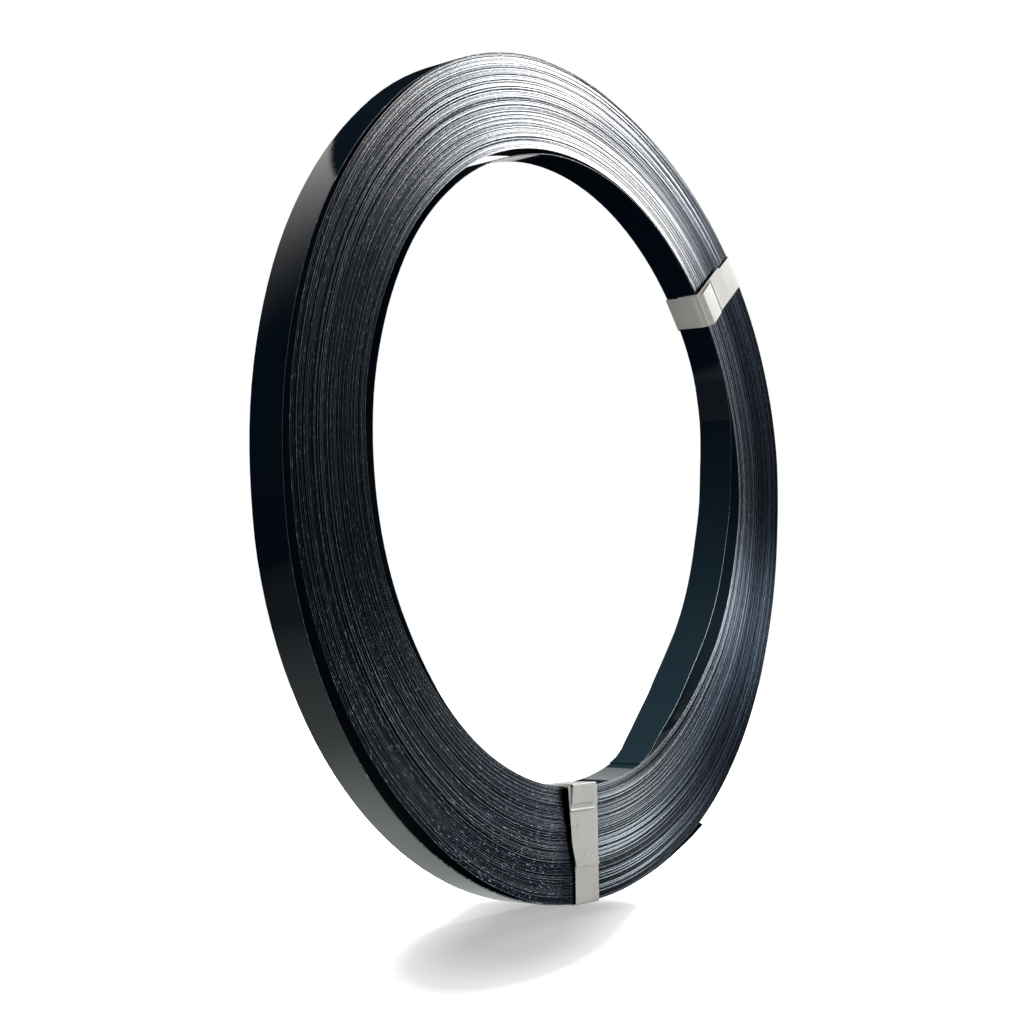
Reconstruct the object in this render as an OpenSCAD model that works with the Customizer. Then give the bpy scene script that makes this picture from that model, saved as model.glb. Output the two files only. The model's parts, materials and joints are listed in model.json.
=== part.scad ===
// Roll of steel strapping: one long steel strap wound on itself in a flat
// spiral, standing on its rim and held by two thin steel ties.
// The coil's axis runs along Y. The face seen from the front looks to -Y.
// The origin is the middle of the bore, and +Z is up.

/* [Strap] */
// Width of the strap, which is the depth of the coil
strap_w = 25.4; // [19:0.1:60]
// Thickness of the strap
strap_t = 0.8; // [0.5:0.05:1.5]

/* [Coil] */
// Diameter of the bore, inside the innermost turn
bore_d = 406; // [300:1:500]
// Number of turns between the bore and the rim
turns = 81; // [40:1:110]
// Turns that share one ridge on the faces
turns_per_ridge = 1; // [1:1:8]
// Deepest set-back of a ridge from the face
ridge_set_back = 0.4; // [0.1:0.05:1]
// Depth of the groove between two ridges
groove_depth = 0.35; // [0.1:0.05:1]

/* [Loose turns] */
// Widest gap behind the innermost turn, at the upper left
top_gap = 6; // [0:0.5:10]
// Widest gap behind the innermost turn, at the lower right
low_gap = 10; // [0:0.5:12]
// Widest gap inside the outermost turn, at the left
rim_gap = 5; // [0:0.5:10]
// How far the outer free end springs away from the rim
tail_spring = 4.7; // [1:0.1:8]

/* [Ties] */
// Width of a tie
tie_w = 25.4; // [12:0.1:30]
// Thickness of a tie
tie_t = 0.5; // [0.3:0.05:0.8]
// Angle of the upper tie above the right-hand side of the coil
upper_tie_angle = 40; // [20:1:60]
// Length of the folded end on the bottom tie, along the face
fold_len = 17; // [10:0.5:26]
// Reach of the second layer of the bottom tie, along the face
lap_len = 43; // [28:0.5:50]
// How far the folded end's bend stands in front of the face
fold_stand = 5; // [2:0.1:8]

/* [Hidden] */
bore_r = bore_d / 2;
rim_r = bore_r + turns * strap_t;
face = strap_w / 2;
lap_out = bore_r + strap_t;
wrap_in = rim_r - strap_t;
clear = 0.05;
ridges = floor(turns / turns_per_ridge) - 1;
ridge_w = (wrap_in - lap_out) / ridges;
through = strap_w + 10;
// Where a tie's two long sides run, measured from the axis
tie_in = sqrt(bore_r * bore_r - tie_w * tie_w / 4) - clear;
tie_out = rim_r + clear;
// Angles of the free ends, measured from +X towards +Z
inner_end = -71;
outer_end = -57.5;
// The outer free end starts inside the outermost turn and leaves the rim
// along an arc that is flatter than the rim
tail_turn = 23.5;
tail_base = rim_r - strap_t / 2;
tail_rise = tail_spring + strap_t / 2;
tail_r = tail_base / (1 - 2 * tail_rise / (tail_base * pow(tail_turn * PI / 180, 2)));

// Set-back of one ridge: a slow wave and a quick one, so that the
// turns stand unevenly as they do on a real coil
function set_back(i) = ridge_set_back * (0.5 + 0.3 * sin(i * 137) + 0.2 * sin(i * 61));

// The wound section on one side of the axis: a groove lies between
// two ridges, where one turn ends and the next begins
module wound_section() {
    top = [for (i = [0:ridges - 1], k = [0:1])
        [lap_out + (i + (k == 0 ? 0.12 : 0.88)) * ridge_w, face - set_back(i)]];
    grooves = [for (i = [1:ridges - 1])
        [lap_out + i * ridge_w, face - ridge_set_back - groove_depth]];
    upper = [for (i = [0:ridges - 1]) each concat([top[2 * i], top[2 * i + 1]],
        i < ridges - 1 ? [grooves[i]] : [])];
    lower = [for (i = [len(upper) - 1:-1:0]) [upper[i][0], -upper[i][1]]];
    polygon(concat([[bore_r + strap_t / 2, face - 1]], upper,
        [[rim_r - strap_t / 2, face - 1], [rim_r - strap_t / 2, 1 - face]], lower,
        [[bore_r + strap_t / 2, 1 - face]]));
}

// One turn as a plain ring
module ring(inside, outside) {
    difference() {
        cylinder(r = outside, h = strap_w, center = true, $fn = 360);
        cylinder(r = inside, h = through, center = true, $fn = 360);
    }
}

// Crescent outside the circle of radius base_r: widest at angle mid,
// gone at mid - half and mid + half
module crescent_out(base_r, wide, mid, half) {
    shift = wide / (1 - cos(half));
    difference() {
        rotate([0, 0, mid]) translate([shift, 0, 0])
            cylinder(r = base_r - shift * cos(half), h = through, center = true, $fn = 360);
        cylinder(r = base_r, h = through + 1, center = true, $fn = 360);
    }
}

// Crescent inside the circle of radius base_r
module crescent_in(base_r, wide, mid, half) {
    shift = wide / (1 - cos(half));
    difference() {
        cylinder(r = base_r, h = through, center = true, $fn = 360);
        rotate([0, 0, mid + 180]) translate([shift, 0, 0])
            cylinder(r = base_r + shift * cos(half), h = through + 1, center = true, $fn = 360);
    }
}

// Arc of strap between two radii, from angle from to angle to
module arc(inside, outside, from, to) {
    rotate([0, 0, from]) rotate_extrude(angle = to - from, $fn = 360)
        translate([inside, -face]) square([outside - inside, strap_w]);
}

module strap_coil() color("#20262c") rotate([90, 0, 0]) {
    difference() {
        union() {
            rotate_extrude($fn = 360) wound_section();
            ring(bore_r, lap_out);
            ring(wrap_in, rim_r);
        }
        crescent_out(lap_out, top_gap, 160, 80);
        crescent_out(lap_out, low_gap, -20, 35);
        crescent_in(wrap_in, rim_gap, 190, 70);
        // The cut of the inner free end, across the innermost turn
        rotate([0, 0, inner_end]) translate([bore_r - 1, -strap_t, -through / 2])
            cube([1 + strap_t, strap_t, through]);
    }
    // Outer free end, which springs away from the rim
    rotate([0, 0, outer_end - tail_turn]) translate([tail_base - tail_r, 0, 0])
        arc(tail_r - strap_t, tail_r, 0, tail_turn * tail_base / tail_r);
}

// One straight length of tie between two points of its middle line, seen from its edge
module tie_run(from, to) {
    way = to - from;
    translate(from) rotate(atan2(way[1], way[0])) translate([0, -tie_t / 2])
        square([norm(way), tie_t]);
    translate(to) circle(r = tie_t / 2, $fn = 32);
}

// Closed loop of tie round the section of the coil, seen from its edge.
// The tie is flat across its width, so it crosses the bore's wall as a chord.
module tie_loop() {
    inner = [tie_out - tie_in, strap_w + 2 * clear];
    translate([(tie_out + tie_in) / 2, 0]) difference() {
        union() {
            square([inner[0] + 2 * tie_t, inner[1]], center = true);
            square([inner[0], inner[1] + 2 * tie_t], center = true);
            for (sx = [-1, 1], sy = [-1, 1])
                translate([sx * inner[0] / 2, sy * inner[1] / 2]) circle(r = tie_t, $fn = 32);
        }
        square(inner, center = true);
    }
}

// The tie's two ends on the front face. One end is folded back on itself
// as a second layer. The other runs on past the face, bends there and
// comes back down on the second layer.
module tie_ends(second, folded) {
    top = face + clear + tie_t;
    bend = [tie_in - tie_t / 2, face + fold_stand - tie_t / 2];
    translate([tie_in, top - 0.01]) square([second, tie_t + 0.01]);
    tie_run([bend[0], face], bend);
    tie_run(bend, [tie_in + folded, top + 1.4 * tie_t]);
}

module tie(angle, second, folded) {
    rotate([90, 0, 0]) rotate([0, 0, angle]) rotate([90, 0, 0])
        linear_extrude(height = tie_w, center = true) {
            tie_loop();
            tie_ends(second, folded);
        }
}

module bottom_tie() color("#b9b4ac") tie(-90, lap_len, fold_len);

module upper_tie() color("#b9b4ac") tie(upper_tie_angle, lap_len - 4, fold_len + 6);

strap_coil();
bottom_tie();
upper_tie();
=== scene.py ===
# %% [markdown]
# # A roll of steel strapping
#
# Steel strapping comes as one long strip wound on itself into a flat coil. This
# lesson dresses such a coil: the strip is dark blued steel, its cut edges catch
# the light as fine rings, and two bright tin ties hold the coil together.
#
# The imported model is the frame. It fixes every size, so nothing here is scaled.

# %% Load the frame
import bmesh
import bpy
import json
import math
from mathutils import Matrix, Vector

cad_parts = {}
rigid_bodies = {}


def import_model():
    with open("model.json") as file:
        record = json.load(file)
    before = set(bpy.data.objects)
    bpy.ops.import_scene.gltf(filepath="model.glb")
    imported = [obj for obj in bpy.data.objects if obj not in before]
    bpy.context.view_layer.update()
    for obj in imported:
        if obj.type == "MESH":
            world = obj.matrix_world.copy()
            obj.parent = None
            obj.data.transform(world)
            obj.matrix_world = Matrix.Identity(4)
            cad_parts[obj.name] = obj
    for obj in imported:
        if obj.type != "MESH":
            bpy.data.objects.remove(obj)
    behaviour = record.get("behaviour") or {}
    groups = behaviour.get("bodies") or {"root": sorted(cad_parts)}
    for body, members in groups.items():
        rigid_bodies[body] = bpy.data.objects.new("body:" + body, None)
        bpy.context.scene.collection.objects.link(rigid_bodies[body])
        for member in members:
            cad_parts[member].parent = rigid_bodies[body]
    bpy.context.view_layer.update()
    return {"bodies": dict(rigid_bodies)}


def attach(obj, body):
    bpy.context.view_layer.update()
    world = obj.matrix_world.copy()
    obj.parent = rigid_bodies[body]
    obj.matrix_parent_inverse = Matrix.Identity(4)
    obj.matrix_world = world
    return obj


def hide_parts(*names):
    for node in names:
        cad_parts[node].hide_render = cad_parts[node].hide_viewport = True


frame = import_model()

MM = 0.001

# %% [markdown]
# ## The camera
#
# The photograph was taken from the left and a little below the middle of the
# bore, so the far side of the bore shows under its top. The lens is a short
# telephoto: the left-hand side looks only a little larger than the right-hand side.
# A camera is easiest to place by where it stands and which way it looks.

# %% Place the camera
def new_object(name, data):
    """Puts a mesh, a camera or a light in the scene."""
    thing = bpy.data.objects.new(name, data)
    bpy.context.scene.collection.objects.link(thing)
    return thing


def make_camera(place, heading, tilt, roll, lens, shift):
    """Heading is measured from +X towards +Y and tilt above the level, in degrees."""
    data = bpy.data.cameras.new("camera")
    data.lens, data.sensor_width = lens, 36
    data.shift_x, data.shift_y = shift
    data.clip_start, data.clip_end = 0.05, 50
    camera = new_object("camera", data)
    camera.matrix_world = (Matrix.Translation(place)
                           @ Matrix.Rotation(math.radians(heading - 90), 4, "Z")
                           @ Matrix.Rotation(math.radians(90 + tilt), 4, "X")
                           @ Matrix.Rotation(math.radians(roll), 4, "Z"))
    bpy.context.scene.camera = camera
    return camera


camera = make_camera(place=(-0.8622, -0.6147, -0.1198), heading=37.17, tilt=5.757, roll=-0.80,
                     lens=58.18, shift=(-0.0033, -0.0141))
print("camera at", tuple(round(v, 3) for v in camera.location))

# %% [markdown]
# ## Small helpers for node trees
#
# A node tree is quicker to read when each node is one line. `add_node` makes a
# node, sets its options and fills its sockets. The others are the few nodes that
# this lesson needs again and again: arithmetic, ranges, vectors, noises and mixes.

# %% Helpers for nodes and arithmetic
def add_node(tree, kind, inputs=None, **options):
    """Adds a node. inputs maps a socket's name or number to a value or another node's output."""
    node = tree.nodes.new(kind)
    for name, value in options.items():
        setattr(node, name, value)
    for name, value in (inputs or {}).items():
        if isinstance(value, bpy.types.NodeSocket):
            tree.links.new(value, node.inputs[name])
        else:
            node.inputs[name].default_value = value
    return node


def calc(tree, operation, *values):
    """One Math node."""
    return add_node(tree, "ShaderNodeMath", dict(enumerate(values)), operation=operation).outputs[0]


def product(tree, *values):
    """All the values multiplied together."""
    result = values[0]
    for value in values[1:]:
        result = calc(tree, "MULTIPLY", result, value)
    return result


def between(tree, value, from_min, from_max, to_min=0.0, to_max=1.0, kind="LINEAR"):
    """Moves a value from one range to another and stops it at the ends."""
    ends = {0: value, 1: from_min, 2: from_max, 3: to_min, 4: to_max}
    return add_node(tree, "ShaderNodeMapRange", ends, interpolation_type=kind).outputs[0]


# %% Helpers for vectors, noises and colours
def vector(tree, **sides):
    """A vector from its X, Y and Z."""
    return add_node(tree, "ShaderNodeCombineXYZ", sides).outputs[0]


def parts(tree, whole):
    """The X, Y and Z of a vector."""
    return add_node(tree, "ShaderNodeSeparateXYZ", {0: whole}).outputs


def scaled(tree, whole, amount):
    """A vector made longer or shorter."""
    return add_node(tree, "ShaderNodeVectorMath", {0: whole, "Scale": amount}, operation="SCALE").outputs[0]


def length(tree, whole):
    """How long a vector is."""
    return add_node(tree, "ShaderNodeVectorMath", {0: whole}, operation="LENGTH").outputs["Value"]


def noise(tree, place, scale, detail=2.0, roughness=0.5, dimensions="3D"):
    """A smooth noise over a place, or over one number when it has only one dimension."""
    inputs = {"W" if dimensions == "1D" else "Vector": place, "Scale": scale, "Detail": detail,
              "Roughness": roughness}
    return add_node(tree, "ShaderNodeTexNoise", inputs, noise_dimensions=dimensions).outputs[0]


def mixed(tree, factor, first, second):
    """A colour that goes from the first to the second as the factor goes from 0 to 1."""
    first, second = ((*colour, 1) if isinstance(colour, tuple) else colour for colour in (first, second))
    return add_node(tree, "ShaderNodeMix", {"Factor": factor, 6: first, 7: second}, data_type="RGBA").outputs[2]


# %% [markdown]
# ## The shape of the coil, read off
#
# A real coil is not a true circle. Its innermost turn has sprung in at the lower
# right, its outermost turn stands off at the left, and the rim is a little out of
# round. Each of these is a curve drawn over the angle. The angle starts at the
# bottom tie and runs counter-clockwise, as seen from the front. Each pair below is
# an angle in degrees and a distance in millimetres. In `LEAN` the second number is
# a share of the full lean.

# %% Curves of the loose turns
RIM = [(0, 267.8), (24, 268.6), (34, 269.8), (44, 269.2), (57, 267.5), (77, 265.3), (91, 267.4),
       (101, 270.3), (112, 271.0), (122, 270.2), (136, 267.6), (150, 264.8), (162, 263.6), (173, 265.0),
       (183, 266.8), (196, 268.6), (208, 268.8), (225, 267.6), (243, 266.4), (268, 265.0), (284, 266.8),
       (300, 268.4), (314, 269.0), (335, 268.4), (360, 267.8)]
PACK_INSIDE = [(0, 196.2), (19, 197.4), (32, 196.0), (42, 195.8), (58, 198.4), (77, 201.6), (94, 206.4),
               (110, 207.6), (140, 208.6), (184, 208.0), (202, 208.0), (222, 206.6), (246, 204.0),
               (258, 202.8), (276, 199.2), (292, 198.0), (315, 196.2), (330, 196.6), (345, 196.9), (360, 196.2)]
DENT = [(0, 0), (19, 0), (25, 4.2), (38, 11.6), (50, 15.4), (62, 16.4), (75, 16.4), (90, 14.6), (101, 9.0),
        (110, 3.4), (121, 1.0), (140, 0.6), (165, 0.8), (184, 1.8), (203, 3.8), (222, 3.8), (245, 5.2),
        (258, 6.0), (272, 5.0), (295, 3.8), (308, 2.2), (322, 0.4), (334, 0), (360, 0)]
LEAN = [(0, 0), (19, 0), (32, 0.6), (46, 1), (95, 1), (112, 0.7), (126, 0), (360, 0)]
RIM_GAP = [(0, 0), (205, 0), (220, 0.9), (240, 2.5), (255, 3.5), (272, 4.4), (285, 5.8), (300, 7.0),
           (313, 7.2), (328, 4.8), (342, 1.6), (353, 0), (360, 0)]


def drawn_curve(tree, name, points, low, high, angle):
    """A Float Curve through the points; angle goes from 0 to 1 for one whole turn."""
    node = add_node(tree, "ShaderNodeFloatCurve", {"Value": angle}, name=name, label=name)
    curve = node.mapping.curves[0]
    while len(curve.points) < len(points):
        curve.points.new(0.5, 0.5)
    for knot, (degrees, value) in zip(curve.points, points):
        knot.location = (degrees / 360, (value - low) / (high - low))
        knot.handle_type = "AUTO_CLAMPED"
    node.mapping.update()
    return between(tree, node.outputs[0], 0, 1, low, high)


print("curves", len(RIM), len(PACK_INSIDE), len(DENT), len(LEAN), len(RIM_GAP), "knots")

# %% [markdown]
# ## The wound strap
#
# Eighty-one turns of one strip follow a rule, so Geometry Nodes make them. A long
# line of points becomes a spiral: the number of turns so far gives the angle, and
# the curves above give the distance from the axis. A six-sided section is then
# swept along it. Its two cut edges are slightly crowned and lean outwards, and
# that crown is what makes the fan of light on the real coil's face.
#
# The tree is built in a few steps, and its named inputs are in millimetres,
# degrees and turns. The strap is drawn 24 mm wide and 0.6 mm thick, a little under
# the real 25.4 and 0.8 mm, so that uneven turns have room to lie side by side.

# %% Inputs of the strap's tree
STRAP_INPUTS = [("Turns", 81.0352), ("First Angle", -71.0), ("Strap Width", 24.0), ("Strap Thickness", 0.60),
                ("Dent", 1.0), ("Lean", 12.0), ("Rim Gap", 1.0), ("Tail Spring", 2.8), ("Slant of Cut", 14.0),
                ("Uneven Edge", 1.1), ("Uneven Pitch", 0.9), ("Seed", 3.0)]
POINTS_PER_TURN = 144


def strap_inputs(tree):
    """Gives the tree its named inputs and its output, and returns the inputs."""
    sockets = tree.interface
    sockets.new_socket("Geometry", in_out="OUTPUT", socket_type="NodeSocketGeometry")
    for name, value in STRAP_INPUTS:
        sockets.new_socket(name, in_out="INPUT", socket_type="NodeSocketFloat").default_value = value
    points = sockets.new_socket("Points per Turn", in_out="INPUT", socket_type="NodeSocketInt")
    points.default_value = POINTS_PER_TURN
    sockets.new_socket("Material", in_out="INPUT", socket_type="NodeSocketMaterial")
    return add_node(tree, "NodeGroupInput").outputs


def reshaped(tree, kind, shape, inputs=None, **options):
    """A shape put through one more node. It goes into the node's first socket."""
    return add_node(tree, kind, {0: shape, **(inputs or {})}, **options).outputs[0]


print("strap inputs", [name for name, value in STRAP_INPUTS])

# %% [markdown]
# ### How far each point is from the axis
#
# The pack fills the room between its inside and the rim evenly, turn by turn. The
# innermost turn is dented inwards, the outermost stands off over the gap at the left,
# and the last stretch of the strap springs away from the rim. Turns never lie quite
# evenly, so a slow noise moves them a little, both between their neighbours and
# along the axis.

# %% Distance from the axis
TWO_LAYERS = 1.6    # what the outer turns take of the rim, in millimetres
TAIL_TURNS = 0.066  # the part of a turn over which the free end springs away


def wander(tree, given, turn, pace, shift):
    """A slow noise over the turns, around zero. Another shift reads another part of it."""
    place = calc(tree, "MULTIPLY_ADD", turn, pace, calc(tree, "ADD", given["Seed"], shift))
    return calc(tree, "SUBTRACT", noise(tree, place, 1.0, 1.0, dimensions="1D"), 0.5)


def strip_radius(tree, given, turn, angle):
    """Distance of the strip's middle line from the axis, in millimetres."""
    left = calc(tree, "SUBTRACT", given["Turns"], turn)
    first = calc(tree, "LESS_THAN", turn, 1)
    last = calc(tree, "GREATER_THAN", turn, calc(tree, "SUBTRACT", given["Turns"], 1))
    inside = drawn_curve(tree, "pack inside", PACK_INSIDE, 190, 215, angle)
    rim = drawn_curve(tree, "rim", RIM, 260, 275, angle)
    dent = drawn_curve(tree, "dent", DENT, 0, 20, angle)
    gap = calc(tree, "MULTIPLY", drawn_curve(tree, "rim gap", RIM_GAP, 0, 10, angle), given["Rim Gap"])

    outside = calc(tree, "SUBTRACT", calc(tree, "SUBTRACT", rim, gap), TWO_LAYERS)
    share = calc(tree, "DIVIDE", calc(tree, "SUBTRACT", turn, 1), calc(tree, "SUBTRACT", given["Turns"], 2))
    radius = calc(tree, "MULTIPLY_ADD", calc(tree, "SUBTRACT", outside, inside), share, inside)
    radius = calc(tree, "SUBTRACT", radius, product(tree, dent, given["Dent"], first))
    radius = calc(tree, "MULTIPLY_ADD", gap, last, radius)
    spring = between(tree, left, TAIL_TURNS, 0)
    radius = calc(tree, "ADD", radius, product(tree, spring, spring, given["Tail Spring"]))

    uneven = calc(tree, "MULTIPLY", wander(tree, given, turn, 0.9, 40), given["Uneven Pitch"])
    middle_turns = calc(tree, "MULTIPLY", between(tree, turn, 1, 3), between(tree, left, 1, 3))
    radius = calc(tree, "MULTIPLY_ADD", uneven, middle_turns, radius)
    return calc(tree, "MULTIPLY_ADD", given["Strap Thickness"], 0.5, radius)


print("the free end springs away over", round(TAIL_TURNS * 360), "degrees")


# %% [markdown]
# ### The spiral
#
# Every point knows how many turns lie before it. That number is stored on the
# strap as `turn`, and the length of strap so far as `along`, for its material to use.

# %% The spiral
METRES_PER_TURN = 1.475  # once round the middle of the pack
TO_BOTTOM_TIE = 90       # +X lies this many degrees past the bottom tie


def spiral(tree, given):
    """The strap's middle line, leaning where the innermost turn is dented."""
    count = calc(tree, "ADD", calc(tree, "MULTIPLY", given["Turns"], given["Points per Turn"]), 1)
    line = add_node(tree, "GeometryNodeCurvePrimitiveLine").outputs["Curve"]
    path = reshaped(tree, "GeometryNodeResampleCurve", line, {"Count": count})
    number = add_node(tree, "GeometryNodeInputIndex").outputs[0]
    turn = calc(tree, "MINIMUM", calc(tree, "DIVIDE", number, given["Points per Turn"]), given["Turns"])
    degrees = calc(tree, "MULTIPLY_ADD", turn, 360, given["First Angle"])
    # Two whole turns more keep this above zero, where the curves begin
    angle = calc(tree, "FRACT", calc(tree, "DIVIDE", calc(tree, "ADD", degrees, TO_BOTTOM_TIE + 2 * 360), 360))

    radius = strip_radius(tree, given, turn, angle)
    swing = calc(tree, "MULTIPLY", wander(tree, given, turn, 0.23, 90), 0.6)
    along_axis = calc(tree, "MULTIPLY", calc(tree, "ADD", wander(tree, given, turn, 1.7, 0), swing),
                      given["Uneven Edge"])
    radians = calc(tree, "RADIANS", degrees)
    spot = vector(tree, X=calc(tree, "MULTIPLY", calc(tree, "COSINE", radians), radius), Y=along_axis,
                  Z=calc(tree, "MULTIPLY", calc(tree, "SINE", radians), radius))
    path = reshaped(tree, "GeometryNodeSetPosition", path, {"Position": scaled(tree, spot, MM)})
    path = reshaped(tree, "GeometryNodeSetCurveNormal", path, {"Normal": (0, 1, 0)}, mode="FREE")
    lean = product(tree, drawn_curve(tree, "lean", LEAN, 0, 1, angle), calc(tree, "LESS_THAN", turn, 1),
                   given["Lean"])
    path = reshaped(tree, "GeometryNodeSetCurveTilt", path, {"Tilt": calc(tree, "RADIANS", lean)})
    for name, value in (("turn", turn), ("along", calc(tree, "MULTIPLY", turn, METRES_PER_TURN))):
        path = reshaped(tree, "GeometryNodeStoreNamedAttribute", path, {"Name": name, "Value": value},
                        data_type="FLOAT", domain="POINT")
    return path


print("the coil holds about", round(dict(STRAP_INPUTS)["Turns"] * METRES_PER_TURN), "m of strap")


# %% [markdown]
# ### The section and the cut
#
# The section is a circle of six points, each moved to its own corner. At the outer
# free end the strap was cut on a slant, so its rear edge runs further round than
# its front edge.

# %% Section and slanted cut
# Each corner: from -1 to 1 through the thickness, from -1 to 1 across the width, and
# how far it lies below the crest of its cut edge, in millimetres
SECTION = [(-1, -1, 0.08), (-0.55, -1, 0), (1, -1, 0.2), (1, 1, 0.2), (-0.55, 1, 0), (-1, 1, 0.08)]
PER_WIDTH = 41.7       # one over the strap's width in metres
LAST_POINTS = 0.002    # the part of a turn that holds only the strap's end
SHARP_CORNER = math.radians(55)


def strip_section(tree, given):
    """Two flat sides, and a crown on each cut edge."""
    thick = calc(tree, "MULTIPLY", given["Strap Thickness"], 0.5 * MM)
    crest = calc(tree, "MULTIPLY", given["Strap Width"], 0.5 * MM)
    ring = add_node(tree, "GeometryNodeCurvePrimitiveCircle", {"Resolution": len(SECTION)}, mode="RADIUS")
    number = add_node(tree, "GeometryNodeInputIndex").outputs[0]
    places = add_node(tree, "GeometryNodeIndexSwitch", {"Index": number}, data_type="VECTOR")
    while len(places.index_switch_items) < len(SECTION):
        places.index_switch_items.new()
    for i, (side, across, drop) in enumerate(SECTION):
        edge = calc(tree, "MULTIPLY", calc(tree, "SUBTRACT", crest, drop * MM), across)
        corner = vector(tree, X=edge, Y=calc(tree, "MULTIPLY", thick, side))
        tree.links.new(corner, places.inputs[i + 1])
    return reshaped(tree, "GeometryNodeSetPosition", ring.outputs[0], {"Position": places.outputs[0]})


def slanted_cut(tree, given, strip):
    """Moves the last points on along the strap, the more the further back they lie."""
    turn = add_node(tree, "GeometryNodeInputNamedAttribute", {"Name": "turn"}, data_type="FLOAT").outputs[0]
    at_end = calc(tree, "GREATER_THAN", turn, calc(tree, "SUBTRACT", given["Turns"], LAST_POINTS))
    depth = parts(tree, add_node(tree, "GeometryNodeInputPosition").outputs[0])[1]
    reach = calc(tree, "MULTIPLY", calc(tree, "MULTIPLY_ADD", depth, PER_WIDTH, 0.5),
                 calc(tree, "MULTIPLY", given["Slant of Cut"], MM))
    end = calc(tree, "RADIANS", calc(tree, "MULTIPLY_ADD", given["Turns"], 360, given["First Angle"]))
    ahead = vector(tree, X=calc(tree, "MULTIPLY", calc(tree, "SINE", end), -1.0), Z=calc(tree, "COSINE", end))
    return reshaped(tree, "GeometryNodeSetPosition", strip,
                    {"Selection": at_end, "Offset": scaled(tree, ahead, reach)})


print("section of", len(SECTION), "corners")


# %% The whole tree
def strap_tree():
    """The section swept along the spiral, cut, smoothed and given its material."""
    tree = bpy.data.node_groups.new("wound_strap", "GeometryNodeTree")
    given = strap_inputs(tree)
    strip = reshaped(tree, "GeometryNodeCurveToMesh", spiral(tree, given),
                     {"Profile Curve": strip_section(tree, given), "Fill Caps": True})
    strip = slanted_cut(tree, given, strip)
    # Smooth along the strip and over the crowns, sharp at the corners of the section
    bend = calc(tree, "GREATER_THAN", add_node(tree, "GeometryNodeInputMeshEdgeAngle").outputs[0], SHARP_CORNER)
    strip = reshaped(tree, "GeometryNodeSetShadeSmooth", strip, {"Shade Smooth": True}, domain="FACE")
    strip = reshaped(tree, "GeometryNodeSetShadeSmooth", strip, {"Selection": bend, "Shade Smooth": False},
                     domain="EDGE")
    strip = reshaped(tree, "GeometryNodeSetMaterial", strip, {"Material": given["Material"]})
    strip = reshaped(tree, "GeometryNodeRealizeInstances", strip)
    add_node(tree, "NodeGroupOutput", {0: strip})
    return tree


def build_with_nodes(name, tree, settings):
    """Runs a tree on an empty object, with its inputs set by identifier, and keeps the plain mesh."""
    holder = new_object(name + "_maker", bpy.data.meshes.new(name + "_maker"))
    modifier = holder.modifiers.new("nodes", "NODES")
    modifier.node_group = tree
    for item in tree.interface.items_tree:
        if item.in_out == "INPUT" and item.name in settings:
            modifier[item.identifier] = settings[item.name]
    bpy.context.view_layer.update()
    evaluated = holder.evaluated_get(bpy.context.evaluated_depsgraph_get())
    mesh = bpy.data.meshes.new_from_object(evaluated)
    holder.modifiers.remove(modifier)
    bpy.data.objects.remove(holder)
    return new_object(name, mesh)


# %% [markdown]
# ## Finishes
#
# Two effects are shared by the strap and its ties: fine scratches that run along
# a strip, and specks where the finish is rubbed away. Each is a small shader group
# with named sockets, built once and used with different numbers.

# %% Shared shader groups
def shader_group(name, inputs, output):
    """A new group. Returns it with the sockets that its nodes read and fill."""
    group = bpy.data.node_groups.new(name, "ShaderNodeTree")
    for label, kind, value in inputs:
        socket = group.interface.new_socket(label, in_out="INPUT", socket_type=kind)
        if value is not None:
            socket.default_value = value
    group.interface.new_socket(output, in_out="OUTPUT", socket_type="NodeSocketFloat")
    return group, add_node(group, "NodeGroupInput").outputs, add_node(group, "NodeGroupOutput").inputs


def scratches_group():
    """Fine lines along a strip: noise that is stretched along the strip and tight across it."""
    group, given, out = shader_group("fine_scratches", [
        ("Along", "NodeSocketFloat", 0.0), ("Across", "NodeSocketFloat", 0.0),
        ("Length", "NodeSocketFloat", 6.0), ("Fineness", "NodeSocketFloat", 2500.0),
        ("Contrast", "NodeSocketFloat", 1.0)], "Lines")
    place = vector(group, X=calc(group, "MULTIPLY", given["Along"], given["Length"]),
                   Y=calc(group, "MULTIPLY", given["Across"], given["Fineness"]))
    lines = calc(group, "SUBTRACT", noise(group, place, 1.0, 3.0, 0.6, "2D"), 0.5)
    lines = calc(group, "MULTIPLY", lines, given["Contrast"])
    group.links.new(calc(group, "ADD", lines, 0.5), out["Lines"])
    return group


def specks_group():
    """Bare specks: the peaks of a fine noise, more of them where a coarse noise is high."""
    group, given, out = shader_group("rubbed_specks", [
        ("Vector", "NodeSocketVector", None), ("Size", "NodeSocketFloat", 900.0),
        ("Cover", "NodeSocketFloat", 0.3)], "Specks")
    fine = noise(group, given["Vector"], given["Size"])
    coarse = noise(group, given["Vector"], calc(group, "MULTIPLY", given["Size"], 0.02))
    level = calc(group, "SUBTRACT", 0.78, product(group, coarse, given["Cover"], 0.5))
    group.links.new(between(group, fine, level, calc(group, "ADD", level, 0.06)), out["Specks"])
    return group


SCRATCHES, SPECKS = scratches_group(), specks_group()
print("shader groups", SCRATCHES.name, SPECKS.name)

# %% [markdown]
# ### Greys of the cut edges
#
# The strap's cut edges were made after the bluing, so they are greyer than its wide
# sides and vary from turn to turn. A noise over the number of turns gives every ring
# its own grey. Masks then paint light and shade into it: dark lines for turns that lie
# deeper, a darker right where the outer turns lean back, a darker lower left, a highlight
# right of the bottom tie and the tie's shadow on its left. Places are in metres from the
# middle of the bore, X to the right and Z up.

# %% Greys of the rings
MIDDLE_GREY = 0.48   # uneven rings swing around this grey
OTHER_NOISE = 500.0  # turns away on the noise, so that it is not the rings' own


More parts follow.
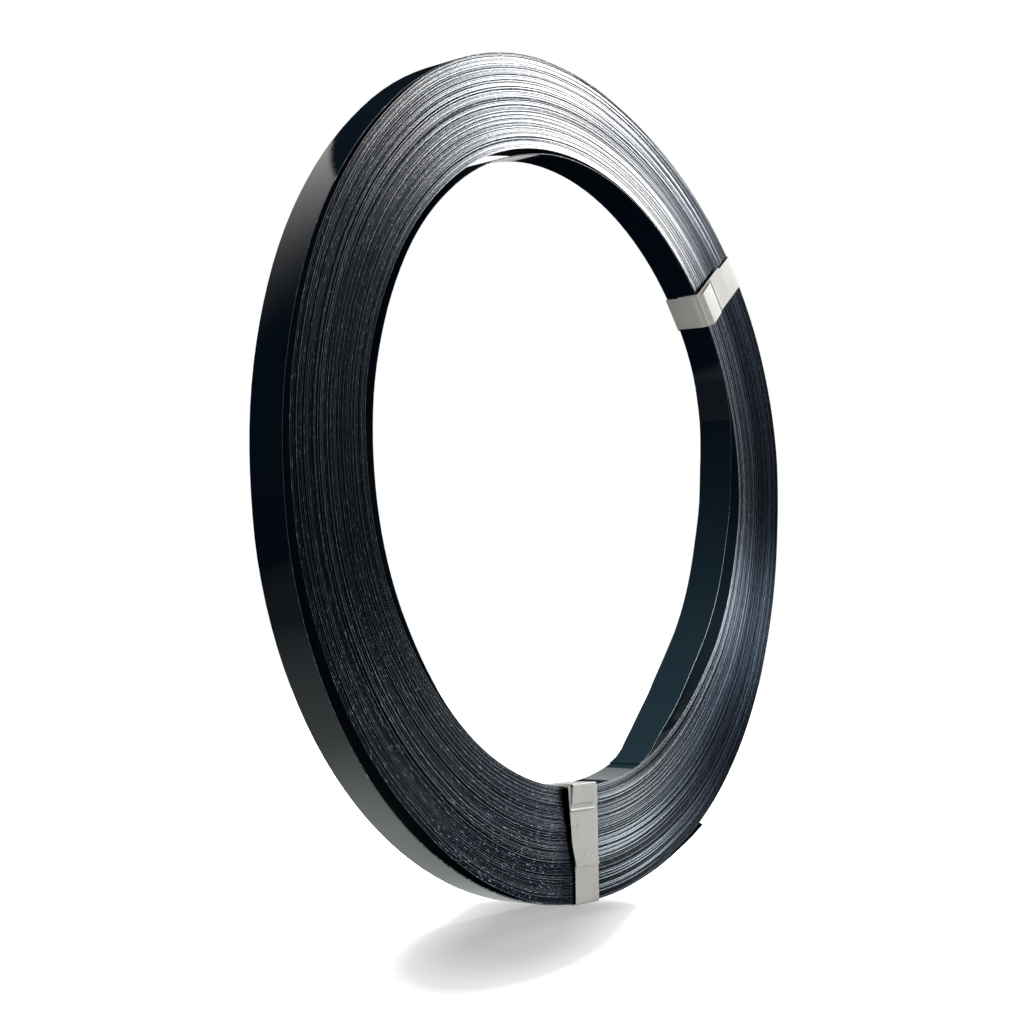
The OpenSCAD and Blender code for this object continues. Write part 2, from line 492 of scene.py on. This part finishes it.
def ring_greys(tree, turn, x, z):
    """Every turn's own grey, in bands of lighter and darker turns."""
    rings = noise(tree, turn, 0.7, 4.0, 0.85, "1D")
    bands = noise(tree, turn, 0.16, dimensions="1D")
    grey = between(tree, calc(tree, "MULTIPLY_ADD", bands, 0.4, rings), 0.56, 0.84)
    # The rings are even at the top left and more and more uneven towards the right
    loose = product(tree, between(tree, x, 0.0, 0.08), between(tree, turn, 35.0, 55.0),
                    between(tree, z, 0.1, 0.16))
    uneven = calc(tree, "MULTIPLY_ADD", loose, 1.2, between(tree, x, -0.06, 0.06, 0.5, 1.15))
    grey = calc(tree, "MULTIPLY_ADD", calc(tree, "SUBTRACT", grey, MIDDLE_GREY), uneven, MIDDLE_GREY)
    # Painted shade: some turns are painted dark as thin lines, standing in for turns that lie deeper in shadow,
    # most of all on the right
    dark_line_noise = noise(tree, calc(tree, "ADD", turn, OTHER_NOISE), 1.1, 1.0, dimensions="1D")
    shown = calc(tree, "SUBTRACT", between(tree, turn, 15.0, 55.0, 0.64, 0.50),
                 between(tree, x, 0.0, 0.1, 0.0, 0.05))
    # The painted shade of the deeper turns, as a factor on the grey
    depth = between(tree, calc(tree, "SUBTRACT", dark_line_noise, shown), 0.0, 0.06, 1.0, 0.06)
    return calc(tree, "MULTIPLY", grey, depth)


# %% Masks of the face
def painted_dim_right(tree, turn, x, z):
    """On the right the outer turns are painted darker and bluer: painted shade for turns that lean back and
    mirror less light.
    """
    return product(tree, between(tree, x, 0.02, 0.16), between(tree, turn, 5.0, 45.0),
                   between(tree, z, 0.15, 0.2, 1.0, 0.5))


def lower_left_painted_shade(tree, x, z):
    """The lower left is painted darker all over: painted shade."""
    return between(tree, calc(tree, "MULTIPLY_ADD", z, 0.45, x), -0.15, -0.05, 0.27, 1.0)


def painted_foot_highlight(tree, turn, x, z):
    """Right of the bottom tie the outer turns are painted brighter: a painted highlight."""
    return product(tree, between(tree, x, 0.0, 0.02), between(tree, x, 0.12, 0.06),
                   between(tree, z, -0.2, -0.22), between(tree, turn, 30.0, 50.0))


def painted_tie_shadow(tree, x, z):
    """The bottom tie stands off a little; its shadow on the turns on its left is painted in."""
    return product(tree, between(tree, x, -0.036, -0.022), between(tree, x, 0.005, -0.005),
                   between(tree, z, -0.18, -0.2))


# %% [markdown]
# ### Blued strap
#
# The strap is blued, then lacquered, so its wide sides are almost black with a
# touch of teal. Its cut edges are bare metal in the greys above, with short burrs
# left by the slitting knives. The turns' wide sides that lie inside the coil are
# matt, because between two turns there is only old oil and dust.

# %% Strap material
LACQUER, LACQUER_SCRATCHED, LACQUER_PALER = (0.002, 0.006, 0.012), (0.004, 0.009, 0.017), (0.016, 0.032, 0.042)
EDGE_DARK, EDGE_BRIGHT, EDGE_DIMMED = (0.007, 0.012, 0.022), (0.78, 0.79, 0.80), (0.54, 0.68, 0.88)
BURR, SPECK = (0.75, 0.77, 0.80), (0.80, 0.82, 0.85)
BUMP_DEPTH = 0.1 * MM
LAST_TURN = 80.0     # from here on the wide side is the coil's rim


def new_material(name):
    """A new material. Returns it with its node tree and its main shader."""
    material = bpy.data.materials.new(name)
    material.use_nodes = True
    tree = material.node_tree
    return material, tree, tree.nodes["Principled BSDF"]


def stored(tree, name):
    """A number that the mesh carries at each point."""
    return add_node(tree, "ShaderNodeAttribute", attribute_name=name).outputs["Fac"]


def edge_colours(tree, turn, x, z, dashes, specks):
    """The colour of the cut edges."""
    painted_dim = painted_dim_right(tree, turn, x, z)
    # Painted shadow of the bottom tie; it dims the burrs too
    tie_shadow_factor = calc(tree, "MULTIPLY_ADD", painted_tie_shadow(tree, x, z), -0.8, 1.0)
    # Painted light and shade on the grey: a dimmed right, a darker lower left, a highlight right of the bottom
    # tie and the tie's shadow
    grey = product(tree, ring_greys(tree, turn, x, z), calc(tree, "MULTIPLY_ADD", painted_dim, -0.78, 1.0),
                   lower_left_painted_shade(tree, x, z),
                   calc(tree, "MULTIPLY_ADD", painted_foot_highlight(tree, turn, x, z), 1.1, 1.0), tie_shadow_factor)
    burrs = product(tree, between(tree, dashes, 0.58, 0.70), tie_shadow_factor, between(tree, x, -0.02, 0.06, 1.0, 0.25),
                    between(tree, z, 0.08, 0.2, 1.0, 0.55))
    # Painted shade: where the right is dimmed, the bright end is a duller blue
    colour = mixed(tree, grey, EDGE_DARK, mixed(tree, painted_dim, EDGE_BRIGHT, EDGE_DIMMED))
    colour = mixed(tree, calc(tree, "MULTIPLY", burrs, 0.5), colour, BURR)
    return mixed(tree, calc(tree, "MULTIPLY", specks, 0.12), colour, SPECK)


def strap_material():
    material, tree, shader = new_material("blued_strap")
    turn, along = stored(tree, "turn"), stored(tree, "along")
    place = add_node(tree, "ShaderNodeTexCoord").outputs
    x, across, z = parts(tree, place["Object"])
    edge = between(tree, calc(tree, "ABSOLUTE", parts(tree, place["Normal"])[1]), 0.55, 0.8)
    lines = add_node(tree, "ShaderNodeGroup", {"Along": along, "Across": across, "Length": 5.0,
                                               "Fineness": 1500.0}, node_tree=SCRATCHES).outputs[0]
    specks = add_node(tree, "ShaderNodeGroup", {"Vector": place["Object"], "Size": 700.0, "Cover": 0.35},
                      node_tree=SPECKS).outputs[0]
    # Burrs are short bright dashes that follow the turns
    dash_place = vector(tree, X=calc(tree, "MULTIPLY", along, 260.0), Y=calc(tree, "MULTIPLY", turn, 2.7))
    dashes = noise(tree, dash_place, 1.0, 2.0, 0.7, "2D")

    wide = mixed(tree, lines, LACQUER, LACQUER_SCRATCHED)
    # The lower part of the innermost turn is paler
    paler_low = calc(tree, "MULTIPLY", between(tree, turn, 2.5, 1.5), between(tree, z, 0.06, -0.18))
    wide = mixed(tree, paler_low, wide, LACQUER_PALER)
    colour = mixed(tree, edge, wide, edge_colours(tree, turn, x, z, dashes, specks))
    tree.links.new(colour, shader.inputs["Base Color"])
    tree.links.new(edge, shader.inputs["Metallic"])

    rough = calc(tree, "MULTIPLY_ADD", lines, 0.02, 0.02)
    rough = calc(tree, "MULTIPLY_ADD", edge, 0.125, rough)
    # At the bore's top the first turn alone is seen, and further down the first two
    first_hidden = between(tree, z, 0.05, -0.05, 1.0, 2.0)
    hidden = product(tree, between(tree, calc(tree, "SUBTRACT", turn, first_hidden), 0.0, 0.1),
                     between(tree, turn, LAST_TURN, LAST_TURN - 0.1), calc(tree, "SUBTRACT", 1.0, edge))
    tree.links.new(calc(tree, "MULTIPLY_ADD", hidden, 0.9, rough), shader.inputs["Roughness"])
    height = calc(tree, "MULTIPLY_ADD", calc(tree, "MULTIPLY", dashes, edge), 4.0, lines)
    bump = add_node(tree, "ShaderNodeBump", {"Height": height, "Strength": 0.05, "Distance": BUMP_DEPTH})
    tree.links.new(bump.outputs[0], shader.inputs["Normal"])
    return material


STRAP_FINISH = strap_material()
print("strap material", STRAP_FINISH.name)

# %% [markdown]
# ### Bright tin ties
#
# The ties are cut from bare bright strip. They are rolled along their length, so
# their scratches run that way, and handling has left a few dull spots.

# %% Tie material
TIN_DULL, TIN_BRIGHT, TIN_SPOT = (0.60, 0.575, 0.54), (0.74, 0.725, 0.70), (0.30, 0.25, 0.21)


def tie_material():
    material, tree, shader = new_material("bright_tie")
    place = add_node(tree, "ShaderNodeTexCoord").outputs["Object"]
    lines = add_node(tree, "ShaderNodeGroup", {"Along": stored(tree, "along"), "Across": stored(tree, "across"),
                                               "Length": 30.0, "Fineness": 3500.0},
                     node_tree=SCRATCHES).outputs[0]
    specks = add_node(tree, "ShaderNodeGroup", {"Vector": place, "Size": 320.0, "Cover": 0.4},
                      node_tree=SPECKS).outputs[0]
    base = mixed(tree, noise(tree, place, 90.0, 3.0), TIN_DULL, TIN_BRIGHT)
    spotted = mixed(tree, calc(tree, "MULTIPLY", specks, 0.5), base, TIN_SPOT)
    tree.links.new(spotted, shader.inputs["Base Color"])
    shader.inputs["Metallic"].default_value = 0.12
    tree.links.new(calc(tree, "MULTIPLY_ADD", lines, 0.25, 0.30), shader.inputs["Roughness"])
    bump = add_node(tree, "ShaderNodeBump", {"Height": lines, "Strength": 0.15, "Distance": BUMP_DEPTH})
    tree.links.new(bump.outputs[0], shader.inputs["Normal"])
    return material


TIE_FINISH = tie_material()
print("tie material", TIE_FINISH.name)

# %% [markdown]
# ## Winding the strap
#
# The tree is run once on an empty object, and its result is kept as a plain mesh. A
# modifier left on the piece would be run again at every change, for nothing.

# %% Wind the strap
strap = build_with_nodes("wound_strap", strap_tree(), {"Material": STRAP_FINISH})
strap.data.materials.clear()
strap.data.materials.append(STRAP_FINISH)
print("strap", len(strap.data.polygons), "faces,", [a.name for a in strap.data.attributes])

# %% [markdown]
# ## The ties
#
# A tie is one thin strip bent round the coil's section. Seen from its edge it is a
# line with rounded bends, so it is made that way: a list of corners is rounded off,
# given the strip's thickness and drawn out over the strip's width.

# %% Rounded line
def rounded(corners, steps=5):
    """Replaces each inner corner (x, y, radius) of an open line by an arc."""
    path = [Vector(corners[0][:2])]
    for before, here, after in zip(corners, corners[1:], corners[2:]):
        a, b, c = Vector(before[:2]), Vector(here[:2]), Vector(after[:2])
        into, out = (b - a).normalized(), (c - b).normalized()
        turn = into.angle(out, 0)
        # An arc takes at most half of the straight line on either side of it
        reach = min(here[2] * math.tan(turn / 2), (b - a).length * 0.49, (c - b).length * 0.49)
        for i in range(steps + 1):
            t = i / steps
            path.append((1 - t) ** 2 * (b - into * reach) + 2 * t * (1 - t) * b + t * t * (b + out * reach))
    path.append(Vector(corners[-1][:2]))
    return path


# %% Bent strip
TIE_WIDTH, TIE_THICKNESS, TIE_BEVEL = 25.0, 0.5, 0.12  # a little narrower than the real 25.4 mm
FRONT = Vector((0, -1, 0))
# The eight corners of a tie's section: a share of the thickness, which edge of the
# strip, and 1 where the corner reaches the strip's full width and not its bevel
TIE_SECTION = [(-0.5, -1, 0), (-0.5, 1, 0), (-0.3, 1, 1), (0.3, 1, 1),
               (0.5, 1, 0), (0.5, -1, 0), (0.3, -1, 1), (-0.3, -1, 1)]


def bent_strip(name, angle, corners, slide):
    """A strip whose middle line is given as (distance from the axis, distance in front of the middle).
    slide(distance, front, share) moves it sideways, where share is how far along the strip it is."""
    path, sides = rounded(corners), len(TIE_SECTION)
    spin = math.radians(angle)
    outward = Vector((math.cos(spin), 0, math.sin(spin)))
    sideways = Vector((-math.sin(spin), 0, math.cos(spin)))
    verts, along, across, so_far = [], [], [], 0.0
    for i, here in enumerate(path):
        so_far += (here - path[max(i - 1, 0)]).length
        ahead = path[min(i + 1, len(path) - 1)] - path[max(i - 1, 0)]
        normal = Vector((-ahead.y, ahead.x)).normalized()
        for depth, edge, full in TIE_SECTION:
            spot = here + normal * depth * TIE_THICKNESS
            reach = edge * (TIE_WIDTH / 2 - (0 if full else TIE_BEVEL))
            aside = reach + slide(here.x, here.y, i / len(path))
            verts.append((outward * spot.x + FRONT * spot.y + sideways * aside) * MM)
            along.append(so_far * MM)
            across.append(reach * MM)
    faces = []
    for start in range(0, len(verts) - sides, sides):
        for k in range(sides):
            a, b = start + k, start + (k + 1) % sides
            faces.append((a, b, b + sides, a + sides))
    faces.append(tuple(range(sides - 1, -1, -1)))
    faces.append(tuple(range(len(verts) - sides, len(verts))))
    mesh = bpy.data.meshes.new(name)
    mesh.from_pydata(verts, [], faces)
    for label, values in (("along", along), ("across", across)):
        mesh.attributes.new(label, "FLOAT", "POINT").data.foreach_set("value", values)
    mesh.materials.append(TIE_FINISH)
    return new_object(name, mesh)


def outward_faces(piece, sharp=35):
    """Points every face outwards and smooths the bends."""
    bm = bmesh.new()
    bm.from_mesh(piece.data)
    bmesh.ops.recalc_face_normals(bm, faces=bm.faces)
    for face in bm.faces:
        face.smooth = True
    for edge in bm.edges:
        edge.smooth = edge.calc_face_angle(0) < math.radians(sharp)
    bm.to_mesh(piece.data)
    bm.free()


print("a tie is", TIE_WIDTH, "x", TIE_THICKNESS, "mm")


# %% [markdown]
# Each tie starts as a second layer on the front face, folds back at the bore, runs
# down the face to the rim, round behind the coil and up through the bore. There it
# stands out past the face, bends, and comes down on the layers below, where a crimp
# holds it.

# %% Make the two ties
COIL_FACE = 12.72  # the ties' inner side stands this far from the coil's middle


def tie(name, angle, bore, rim, second, hook, bend, stand, lift, askew):
    """The sizes are distances from the axis, and how far the bend stands out and the second layer lifts.
    askew says how far four places have slid sideways: the tie at the back of the bore, its hooked end,
    and the top and the end of the second layer."""
    half, face = TIE_THICKNESS / 2, COIL_FACE
    first, over, top = face + half, face + half + 0.62, face + half + 1.2
    corners = [
        # The second layer, from its free end up to the bore
        (second, over + 0.35, 0), (second - 14, over, 20), (bore + 3.2, over + lift, 4),
        # The fold at the bore, and down the face to the rim
        (bore - 0.9, over + lift - 0.4, 0.8), (bore - 1.0, -2, 0.3), (bore - 0.3, -2, 0.3),
        (bore - 0.2, first, 0.6), (bore + 8, first, 3), (rim - 6, first, 3), (rim + half, first - 0.1, 1.2),
        # Round behind the coil and up through the bore
        (rim + half, -first, 1.2), (bore - half, -first, 1.5), (bore - half - 0.6, -6, 20),
        (bore - 1.7, face - 2, 20),
        # Out past the face, the bend, the crimp and the end
        (bore + bend, face + stand, 0.8), (hook - 6.5, top + 1.9, 1.5), (hook - 5.6, top + 1.2, 0.5),
        (hook - 3.2, top + 0.5, 0.6), (hook - 2.2, top + 1.3, 0.5), (hook - 1.2, top + 0.4, 0.5),
        (hook, top + 0.3, 0)]
    back, hooked, fold, end = askew

    def slide(distance, front, share):
        """The second layer comes first along the strip, and the hook comes last."""
        if share < 0.3 and distance > bore - 2:
            return fold + (end - fold) * min(max((distance - hook) / (second - hook), 0), 1)
        if share < 0.5 or front < -face:
            return 0.0
        return back + (hooked - back) * min(max((front + face) / (2 * face), 0), 1)

    piece = bent_strip(name, angle, corners, slide)
    outward_faces(piece)
    return piece


bottom_tie = tie("bottom_tie_strip", -90, bore=195.8, rim=267.85, second=245.0, hook=212.3, bend=-1.8,
                 stand=4.6, lift=1.3, askew=(-2.0, -7.0, -8.5, 0.0))
upper_tie = tie("upper_tie_strip", 39.6, bore=206.6, rim=267.85, second=246.5, hook=230.5, bend=1.8,
                stand=4.7, lift=0.9, askew=(2.0, 1.2, 2.2, 2.2))
print("ties", len(bottom_tie.data.polygons), "faces each")

# %% Attach each piece to the frame's body and hide the part it stands for
body = list(frame["bodies"])[0]
for piece, node, slot in ((strap, "strap_coil", "strap"), (bottom_tie, "bottom_tie", "tie"),
                          (upper_tie, "upper_tie", "tie")):
    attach(piece, body)
    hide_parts(node)
print("pieces ride on", body)

# %% [markdown]
# ## The stage and the light
#
# Dark lacquered metal shows only what it mirrors. So the light that falls on the
# floor and the light that the steel mirrors are set apart. A soft key light above and
# behind and a wide fill light in front are left out of the reflections. Cards, a graded
# room and a graded floor are seen only in them. Light Path tells the kinds of ray apart.

# %% Stage helpers
def sheet_of(name, corners, material):
    """A flat sheet that is part of the stage."""
    mesh = bpy.data.meshes.new(name)
    mesh.from_pydata(corners, [], [tuple(range(len(corners)))])
    mesh.materials.append(material)
    sheet = new_object(name, mesh)
    return sheet


def direction(azimuth, height):
    """The way to a place at so many degrees from +X towards +Y, and above the level."""
    a, h = math.radians(azimuth), math.radians(height)
    return Vector((math.cos(h) * math.cos(a), math.cos(h) * math.sin(a), math.sin(h)))


# %% [markdown]
# ### The floor
#
# To the camera the floor is white with a painted soft shadow, a streak that leaves the
# coil's foot to the front and left. To the steel it is graded: bright near the coil
# at the front right, with a painted pool of light behind it at the left that the rim mirrors.

# %% Floor
FLOOR_Z = -0.26836
FLOOR_WHITE, FLOOR_PAINTED_SHADOW, FLOOR_MIRRORED = (0.9, 0.9, 0.9), (0.11, 0.11, 0.105), (0.94, 1.0, 0.97)
STREAK_X, STREAK_Y = -0.9, -0.437  # the way in which the shadow leaves the foot


def out_of_painted_shadow(tree, x, y):
    """0 in the middle of the painted shadow, 1 outside it."""
    beside = calc(tree, "MULTIPLY_ADD", x, -STREAK_Y, calc(tree, "MULTIPLY_ADD", y, STREAK_X, 0.0066))
    beyond = calc(tree, "MULTIPLY_ADD", x, STREAK_X, calc(tree, "MULTIPLY", y, STREAK_Y))
    far_end = calc(tree, "MAXIMUM", calc(tree, "SUBTRACT", beyond, 0.13), 0.0)
    near_end = calc(tree, "MAXIMUM", calc(tree, "SUBTRACT", 0.02, beyond), 0.0)
    away = length(tree, vector(tree, X=calc(tree, "ABSOLUTE", beside), Y=calc(tree, "MULTIPLY", far_end, 0.32),
                               Z=calc(tree, "MULTIPLY", near_end, 1.6)))
    return between(tree, away, 0.014, 0.088, kind="SMOOTHSTEP")


def mirrored_floor(tree, x, y, distance):
    """How brightly the steel mirrors the floor; distance is from the middle of the bore."""
    front = product(tree, between(tree, calc(tree, "ADD", x, y), 0.03, 0.14, 0.02, 1.0),
                    between(tree, distance, 0.33, 1.05, 2.3, 0.12), between(tree, distance, 1.6, 3.2, 1.0, 0.3),
                    between(tree, calc(tree, "MULTIPLY_ADD", x, -0.3, y), 0.12, 0.0))
    pool = calc(tree, "MINIMUM", between(tree, distance, 0.285, 0.315, 0.68, 1.15),
                between(tree, distance, 0.33, 0.38, 1.1, 0.55))
    pool = calc(tree, "SUBTRACT", pool, between(tree, distance, 0.38, 0.62, 0.0, 0.45))
    pool = product(tree, pool, between(tree, x, 0.02, -0.06, 0.07, 1.0), between(tree, y, -0.03, 0.02),
                   between(tree, calc(tree, "MULTIPLY_ADD", x, 0.6, y), 0.12, 0.04))
    return calc(tree, "ADD", front, pool)


def floor_material():
    """The camera sees the white floor and its painted shadow, and every other ray the graded floor."""
    material, tree, shader = new_material("pale_floor")
    shader.inputs["Roughness"].default_value = 0.9
    shader.inputs["Specular IOR Level"].default_value = 0.0
    shader.inputs["Emission Color"].default_value = (1, 1, 1, 1)
    place = add_node(tree, "ShaderNodeTexCoord").outputs["Object"]
    x, y, _ = parts(tree, place)
    glow = out_of_painted_shadow(tree, x, y)
    # Painted shadow: inside it the floor glows less and its colour is darker
    tree.links.new(calc(tree, "MULTIPLY_ADD", glow, 0.66, 0.42), shader.inputs["Emission Strength"])
    shade = mixed(tree, between(tree, glow, 0.45, 1.0), FLOOR_PAINTED_SHADOW, FLOOR_WHITE)
    tree.links.new(shade, shader.inputs["Base Color"])
    strength = mirrored_floor(tree, x, y, length(tree, place))
    mirrored = add_node(tree, "ShaderNodeEmission", {"Color": (*FLOOR_MIRRORED, 1), "Strength": strength})
    camera_ray = add_node(tree, "ShaderNodeLightPath").outputs["Is Camera Ray"]
    both = add_node(tree, "ShaderNodeMixShader", {0: camera_ray, 1: mirrored.outputs[0], 2: shader.outputs[0]})
    tree.links.new(both.outputs[0], tree.nodes["Material Output"].inputs["Surface"])
    return material


floor = sheet_of("floor", [(-6, -6, FLOOR_Z), (8, -6, FLOOR_Z), (8, 8, FLOOR_Z), (-6, 8, FLOOR_Z)],
                 floor_material())
print("floor at", FLOOR_Z)

# %% [markdown]
# ### The room
#
# The camera sees plain white behind the coil, and the shading gets an even glow. The
# steel sees a dark room with one pale area at the right: a narrow band at the level of
# the floor's far edge, and a glow above it.

# %% Room
ROOM_GLOW, ROOM_DARK = 0.55, 0.008
ROOM_TINT = (0.78, 0.88, 1.0)


def lobe(tree, way, azimuth, height, full, gone):
    """One round a direction and nothing further out, all in degrees."""
    facing = add_node(tree, "ShaderNodeVectorMath", {0: way, 1: direction(azimuth, height)},
                      operation="DOT_PRODUCT").outputs["Value"]
    return between(tree, facing, math.cos(math.radians(gone)), math.cos(math.radians(full)))


def room():
    """White to the camera, pale and dark to the steel, and an even glow for the shading."""
    world = bpy.data.worlds.new("room")
    world.use_nodes = True
    tree = world.node_tree
    tree.nodes.clear()
    rays = add_node(tree, "ShaderNodeLightPath").outputs
    way = add_node(tree, "ShaderNodeTexCoord").outputs["Generated"]
    height = parts(tree, way)[2]
    band = between(tree, calc(tree, "ABSOLUTE", calc(tree, "SUBTRACT", height, 0.015)), 0.05, 0.01)
    band = calc(tree, "MULTIPLY", band, 6.0)
    pale = calc(tree, "MAXIMUM", band, between(tree, height, 0.1, 0.27, 0.3, 1.7))
    mirrored = calc(tree, "ADD", product(tree, lobe(tree, way, -8, 3, full=22, gone=34), pale), ROOM_DARK)
    strength = calc(tree, "MULTIPLY_ADD", rays["Is Glossy Ray"], calc(tree, "SUBTRACT", mirrored, ROOM_GLOW),
                    ROOM_GLOW)
    strength = calc(tree, "MAXIMUM", strength, rays["Is Camera Ray"])
    tint = mixed(tree, rays["Is Glossy Ray"], (1, 1, 1), ROOM_TINT)
    shade = add_node(tree, "ShaderNodeBackground", {"Color": tint, "Strength": strength})
    add_node(tree, "ShaderNodeOutputWorld", {"Surface": shade.outputs[0]})
    bpy.context.scene.world = world
    return world


print("world", room().name)

# %% [markdown]
# ### Cards
#
# In a studio, white cards stand beside dark metal for it to mirror. One gives the rim
# its pale streak at the upper left, one lights the fan on the face, and one stands
# behind the coil on the right.

# %% Cards for the steel to mirror
CARD_COLOUR = (1.0, 0.985, 0.955)


def card(name, corners, strength):
    """A glowing sheet that only reflections see. strength is a number, or (x of nothing, x of full, full)."""
    material = bpy.data.materials.new(name)
    material.use_nodes = True
    tree = material.node_tree
    tree.nodes.clear()
    if isinstance(strength, tuple):
        nothing, full, most = strength
        x = parts(tree, add_node(tree, "ShaderNodeTexCoord").outputs["Object"])[0]
        strength = between(tree, x, nothing, full, 0.0, most, kind="SMOOTHSTEP")
    glow = add_node(tree, "ShaderNodeEmission", {"Color": (*CARD_COLOUR, 1), "Strength": strength})
    add_node(tree, "ShaderNodeOutputMaterial", {"Surface": glow.outputs[0]})
    sheet = sheet_of(name, corners, material)
    sheet.visible_camera = sheet.visible_diffuse = sheet.visible_shadow = False
    return sheet


def facing_card(name, azimuth, height, away, size, strength):
    """A rectangle that faces the coil's middle from a distance."""
    middle = direction(azimuth, height) * away
    side = direction(azimuth + 90, 0) * size[0] / 2
    up = middle.cross(side).normalized() * size[1] / 2
    return card(name, [middle - side - up, middle + side - up, middle + side + up, middle - side + up], strength)


def upright_card(name, left, right, low, high, strength):
    """A rectangle between two places on the floor plan, from one height to another."""
    return card(name, [(*left, low), (*right, low), (*right, high), (*left, high)], strength)


cards = [upright_card("rim_card", (-0.52, 0.25), (-0.10, 0.25), 0.12, 0.442, strength=(-0.47, -0.18, 1.6)),
         facing_card("fan_card", -21, 33, away=1.6, size=(1.0, 0.84), strength=6.5),
         upright_card("back_card", (1.98, 0.49), (0.87, 1.72), 0.32, 0.85, strength=0.7)]
print("cards", [sheet.name for sheet in cards])

# %% [markdown]
# ### Lights
#
# The key light stands high behind the coil, and the fill light in front keeps the ties
# pale. Both are discs, so that what shade they give is soft.

# %% Key and fill light
def soft_light(name, place, aim, size, power):
    """A round light that reflections and the camera don't see."""
    data = bpy.data.lights.new(name, "AREA")
    data.shape, data.size, data.energy = "DISK", size, power
    light = new_object(name, data)
    light.location = place
    light.rotation_euler = (Vector(aim) - Vector(place)).to_track_quat("-Z", "Y").to_euler()
    light.visible_glossy = light.visible_camera = False
    return light


lights = [soft_light("key_light", (0.33, 0.66, 1.64), aim=(0, 0, -0.2), size=0.5, power=30),
          soft_light("fill_light", (-0.7, -1.8, 0.1), aim=(0, 0, -0.1), size=1.2, power=20)]
bpy.context.scene.view_settings.view_transform = "Standard"
print("lights", [light.name for light in lights])
